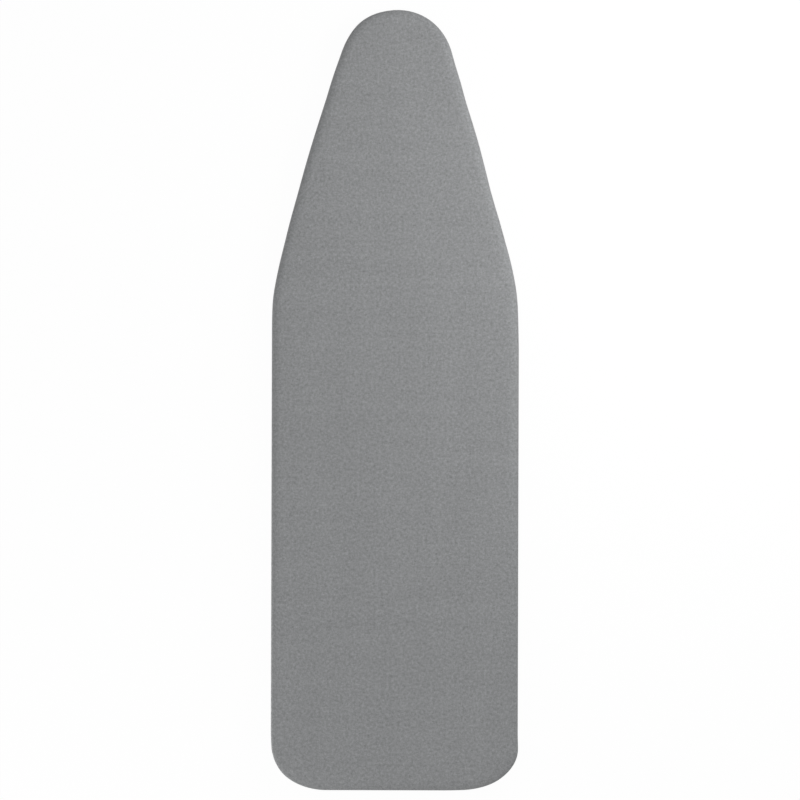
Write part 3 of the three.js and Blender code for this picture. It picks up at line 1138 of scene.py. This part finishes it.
def stitchBox(low, high, level, crossed):
    around = ((low[0], low[1]), (high[0], low[1]), (high[0], high[1]), (low[0], high[1]))
    corners = [(x, y, level) for x, y in around]
    spots = []
    for here, there in zip(corners, corners[1:] + corners[:1]):
        spots += stitchLine(here, there)
    if crossed:
        spots += stitchLine(corners[0], corners[2]) + stitchLine(corners[1], corners[3])
    return spots


stitchMesh = makeStitchMesh()


def makeStitches(name, spots):
    made = newObject(name, copyMany(stitchMesh, spots), thread)
    return made


def makeHemStitches():
    dims = bindingTape
    inset = -dims["flange"] + dims["stitchIn"]
    hem, _, _, turns = bindingStations()
    points = [point - outward * inset for point, outward in hem]
    lengths = runLengths(points + points[:1])
    count = round(lengths[-1] / stitchCut["pitch"])
    level = dims["middle"] - dims["slotHalf"] - dims["tape"] - stitchCut["sink"]
    spots = []
    index = 0
    for k in range(count):
        target = (k + 0.5) / count * lengths[-1]
        while lengths[index + 1] < target:
            index += 1
        here, there = points[index], points[(index + 1) % len(points)]
        spot = here.lerp(there, (target - lengths[index]) / (lengths[index + 1] - lengths[index]))
        lift, _ = bindingWave(turns[index], inset)
        spots.append(stitchSpot(spot + Vector((0, 0, level + lift)), there - here))
    return makeStitches("hemStitches", spots)


hemStitches = makeHemStitches()
print("hem stitches done")

# Straps: woven elastic webbing, sewn on the right, hook tape on the left
strapWeb = {
    "columns": 60,
    "ribPitch": 0.0024,
    "rib": 0.00010,
    "edgeRound": 0.0006,
    "endRound": 0.0007,
    "rampStart": 0.015,  # out from the hem's edge
    "rampEnd": 0.001,
    "swingStart": 0.010,
    "swingEnd": -0.006,
    "splitLead": 0.004,  # from the tab's fold back to where the two pieces of webbing meet
    "peelReach": 0.0017,
}


def stripColumns(halfWidth, halfDepth):
    # once round a ribbed strip: across it, and up from its middle
    count = strapWeb["columns"]
    points = []
    for side in (1, -1):
        for k in range(count):
            across = side * (-halfWidth + 2 * halfWidth * k / count)
            fromEdge = halfWidth - abs(across)
            body = min(fromEdge / strapWeb["edgeRound"], 1.0)
            depth = halfDepth * math.sqrt(1 - (1 - body) ** 2)
            ribs = math.cos(2 * math.pi * across / strapWeb["ribPitch"]) - 1
            depth += strapWeb["rib"] * ribs * 0.5 * body
            points.append((across, side * depth))
    return points


def spacedRun(marks):
    # (from, to, count) stretches joined into one list of places
    run = [marks[0][0]]
    for start, end, count in marks:
        run += [start + (end - start) * (k + 1) / count for k in range(count)]
    return run


def makeStrip(name, places, levelAt, y, halfWidth, depth, roundEnds, material):
    section = stripColumns(halfWidth, depth / 2)

    def place(along, around):
        x = places[along]
        across, up = section[around % len(section)]
        slim = 1.0
        for isRound, end in zip(roundEnds, (places[0], places[-1])):
            if isRound:
                near = min(abs(x - end) / strapWeb["endRound"], 1.0)
                slim = min(slim, math.sqrt(1 - (1 - near) ** 2))
        spot = Vector((x, y + across, levelAt(x) + up * slim))
        return spot, Vector((across, x, 0))

    return sweepGrid(name, len(places) - 1, len(section), place, material)


def closeOpenEnds(made):
    bm = bmesh.new()
    bm.from_mesh(made.data)
    bmesh.ops.holes_fill(bm, edges=[edge for edge in bm.edges if edge.is_boundary], sides=0)
    bmesh.ops.recalc_face_normals(bm, faces=bm.faces[:])
    bm.to_mesh(made.data)
    bm.free()


def makeStrap(name, y):
    dims = strapWeb
    anchorLow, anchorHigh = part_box(f"strap_{name}_anchor")
    spanLow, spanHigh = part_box(f"strap_{name}_webbing")
    tabLow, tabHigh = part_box(f"strap_{name}_tab")
    hemX = anchorLow.x - dims["rampEnd"]
    depth = spanHigh.z - spanLow.z
    flatLevel = (spanLow.z + spanHigh.z) / 2
    sewnLevel = anchorHigh.z - depth / 2
    halfWidth = (spanHigh.y - spanLow.y) / 2
    split = spanLow.x + dims["splitLead"]

    def levelAt(x):
        climb = smoothStep(hemX + dims["rampEnd"], hemX + dims["rampStart"], x)
        return flatLevel + (sewnLevel - flatLevel) * climb

    end = anchorHigh.x
    webPlaces = spacedRun(
        [
            (end, end - dims["endRound"], 4),
            (end - dims["endRound"], hemX + dims["rampStart"], 14),
            (hemX + dims["rampStart"], hemX + dims["swingEnd"], 26),
            (hemX + dims["swingEnd"], split, 60),
        ]
    )
    title = f"strap{name.capitalize()}"
    web = makeStrip(f"{title}Web", webPlaces, levelAt, y, halfWidth, depth, (True, False), webbing)
    peel = (spanLow.x + tabHigh.x) / 2
    tabPlaces = spacedRun(
        [
            (split, peel + dims["peelReach"], 4),
            (peel + dims["peelReach"], peel - dims["peelReach"], 12),
            (peel - dims["peelReach"], tabLow.x + dims["endRound"], 16),
            (tabLow.x + dims["endRound"], tabLow.x, 4),
        ]
    )
    tab = makeStrip(f"{title}Tab", tabPlaces, levelAt, y, halfWidth, depth, (False, True), webbing)
    for piece in (web, tab):
        closeOpenEnds(piece)
    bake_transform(web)
    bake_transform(tab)
    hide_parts(f"strap_{name}_anchor", f"strap_{name}_webbing")
    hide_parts(f"strap_{name}_tab")


# Hook tape: a woven base and rows of small curled hooks
hookTape = {
    "base": 0.0006,
    "pitch": (0.0015, 0.00135),
    "margin": 0.0022,
    "stem": 0.00013,
    "curl": 0.00032,
    "root": 0.00005,  # how far the stems start inside the base
    "foot": 1.5,  # against the stem, before it tapers
    "taper": 0.9,  # from one step to the next
    "curlRoom": 1.2,  # height kept for the curl, against its radius
    "curlStep": math.radians(70),
    "curlSteps": 3,
    "sides": 5,
}


def makeHookMesh(height):
    dims = hookTape
    bm = bmesh.new()
    bmesh.ops.create_circle(bm, cap_ends=True, segments=dims["sides"], radius=dims["stem"] * dims["foot"])
    face = bm.faces[:][0]
    stem = height - dims["curl"] * dims["curlRoom"]
    path = [(0.0, stem / 2, 0.0), (0.0, stem, 0.0)]
    for k in range(1, dims["curlSteps"] + 1):
        angle = dims["curlStep"] * k
        path.append((dims["curl"] * (1 - math.cos(angle)), stem + dims["curl"] * math.sin(angle), angle))
    last = (0.0, 0.0, 0.0)
    for shift, level, angle in path:
        face = bmesh.ops.extrude_discrete_faces(bm, faces=[face])["faces"][0]
        verts = face.verts[:]
        turned = Matrix.Rotation(angle - last[2], 3, "Y")
        bmesh.ops.rotate(bm, verts=verts, cent=(last[0], 0, last[1]), matrix=turned)
        bmesh.ops.translate(bm, verts=verts, vec=(shift - last[0], 0, level - last[1]))
        centre = Matrix.Translation((-shift, 0, -level))
        bmesh.ops.scale(bm, verts=verts, vec=(dims["taper"],) * 3, space=centre)
        last = (shift, level, angle)
    bmesh.ops.recalc_face_normals(bm, faces=bm.faces[:])
    return keepMesh("hook", bm)


tapeEdge = {"corner": 0.0015, "cornerSteps": 4, "rim": 0.00015, "rimSteps": 2}


def bevelEdges(bm, edges, offset, segments):
    bmesh.ops.bevel(
        bm,
        geom=edges,
        offset=offset,
        affect="EDGES",
        segments=segments,
        profile=0.5,
        material=-1,
        clamp_overlap=True,
    )


def tapeBase(low, high):
    bm = bmesh.new()
    bmesh.ops.create_cube(bm, size=1.0)
    bmesh.ops.scale(bm, verts=bm.verts[:], vec=high - low)
    bmesh.ops.translate(bm, verts=bm.verts[:], vec=(low + high) / 2)
    upright = [edge for edge in bm.edges if abs(edge.verts[0].co.z - edge.verts[1].co.z) > 1e-5]
    bevelEdges(bm, upright, tapeEdge["corner"], tapeEdge["cornerSteps"])
    rims = [edge for edge in bm.edges if abs(edge.verts[0].co.z - edge.verts[1].co.z) < 1e-7]
    bevelEdges(bm, rims, tapeEdge["rim"], tapeEdge["rimSteps"])
    return keepMesh("tapeBase", bm)


def makeHookTape(name):
    dims = hookTape
    low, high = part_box(f"strap_{name}_hook_tape")
    baseTop = low.z + dims["base"]
    countX = int((high.x - low.x - 2 * dims["margin"]) / dims["pitch"][0]) + 1
    countY = int((high.y - low.y - 2 * dims["margin"]) / dims["pitch"][1]) + 1
    middle = (low + high) / 2
    spots = []
    for i in range(countX):
        for j in range(countY):
            x = middle.x + (i - (countX - 1) / 2) * dims["pitch"][0]
            y = middle.y + (j - (countY - 1) / 2) * dims["pitch"][1]
            facing = math.pi / 2 if j % 2 else -math.pi / 2
            spot = Matrix.Translation((x, y, baseTop - dims["root"]))
            spots.append(spot @ Matrix.Rotation(facing, 4, "Z"))
    bm = copyMany(makeHookMesh(high.z - baseTop), spots)
    bm.from_mesh(tapeBase(low, Vector((high.x, high.y, baseTop))))
    made = newObject(f"strap{name.capitalize()}HookTape", bm, hookNylon, smooth=False)
    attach(made, f"tab_{name}")
    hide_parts(f"strap_{name}_hook_tape")


# Loop tape: a woven base under a pile of small thread loops
loopTape = {
    "base": 0.0007,
    "margin": 0.0020,
    "count": 520,
    "loop": 0.00055,
    "strand": 0.00010,
    "sides": 4,
    "steps": 6,
    "root": 0.00015,
    "lean": 0.7,
    "sizes": (0.8, 1.25),
    "seed": 11,
}


def makeLoopMesh():
    # half a ring of thread, bowed downwards
    dims = loopTape
    bm = bmesh.new()
    ring = bmesh.ops.create_circle(bm, segments=dims["sides"], radius=dims["strand"])["verts"]
    bmesh.ops.translate(bm, verts=ring, vec=(dims["loop"], 0, 0))
    bmesh.ops.spin(
        bm,
        geom=bm.verts[:] + bm.edges[:],
        cent=(0, 0, 0),
        axis=(0, 1, 0),
        angle=math.pi,
        steps=dims["steps"],
        use_merge=False,
    )
    bmesh.ops.recalc_face_normals(bm, faces=bm.faces[:])
    if max(vert.co.z for vert in bm.verts) > dims["loop"] / 2:
        over = Matrix.Rotation(math.pi, 3, "X")
        bmesh.ops.rotate(bm, verts=bm.verts[:], cent=(0, 0, 0), matrix=over)
    return keepMesh("loop", bm)


def makeLoopTape(name):
    dims = loopTape
    draw = random.Random(dims["seed"])
    low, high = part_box(f"strap_{name}_loop_tape")
    baseLow = Vector((low.x, low.y, high.z - dims["base"]))
    spots = []
    for _ in range(dims["count"]):
        x = draw.uniform(low.x + dims["margin"], high.x - dims["margin"])
        y = draw.uniform(low.y + dims["margin"], high.y - dims["margin"])
        turned = Matrix.Rotation(draw.uniform(0, math.pi), 4, "Z")
        turned = turned @ Matrix.Rotation(draw.uniform(-dims["lean"], dims["lean"]), 4, "X")
        spot = Matrix.Translation((x, y, baseLow.z + dims["root"]))
        spots.append(spot @ turned @ Matrix.Scale(draw.uniform(*dims["sizes"]), 4))
    bm = copyMany(makeLoopMesh(), spots)
    bm.from_mesh(tapeBase(baseLow, high))
    made = newObject(f"strap{name.capitalize()}LoopTape", bm, loopPile)
    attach(made, "root")
    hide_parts(f"strap_{name}_loop_tape")


seamCut = {"anchorStart": 0.018, "anchorMargin": 0.003, "tapeMargin": 0.0013}


def tapeSeam(low, high, level):
    margin = seamCut["tapeMargin"]
    return stitchBox((low.x + margin, low.y + margin), (high.x - margin, high.y - margin), level, False)


def makeStrapSeams(name):
    anchorLow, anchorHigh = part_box(f"strap_{name}_anchor")
    hookLow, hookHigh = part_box(f"strap_{name}_hook_tape")
    loopLow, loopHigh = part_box(f"strap_{name}_loop_tape")
    tabLow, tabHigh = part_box(f"strap_{name}_tab")
    spanLow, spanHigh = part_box(f"strap_{name}_webbing")
    depth = spanHigh.z - spanLow.z
    hemX = anchorLow.x - strapWeb["rampEnd"]
    spots = stitchBox(
        (hemX + seamCut["anchorStart"], anchorLow.y + seamCut["anchorMargin"]),
        (anchorHigh.x - seamCut["anchorMargin"], anchorHigh.y - seamCut["anchorMargin"]),
        anchorHigh.z - depth - stitchCut["sink"],
        True,
    )
    spots += tapeSeam(loopLow, loopHigh, loopHigh.z - loopTape["base"] - stitchCut["sink"])
    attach(makeStitches(f"strap{name.capitalize()}Seams", spots), "root")
    spots = tapeSeam(hookLow, hookHigh, tabLow.z - stitchCut["sink"])
    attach(makeStitches(f"strap{name.capitalize()}TabSeam", spots), f"tab_{name}")


for strapName, strapY in strapPlaces.items():
    makeStrap(strapName, strapY)
    makeHookTape(strapName)
    makeLoopTape(strapName)
    makeStrapSeams(strapName)
    print("strap done:", strapName)

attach(cover, "root")
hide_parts("cover_fabric")
for piece, node, slot in (
    (foamPad, "foam_pad", "foam"),
    (feltPad, "felt_pad", "felt"),
    (hemBinding, "hem_binding", "binding_tape"),
    (hemElastic, "hem_elastic", "elastic"),
):
    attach(piece, "root")
    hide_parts(node)
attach(hemStitches, "root")
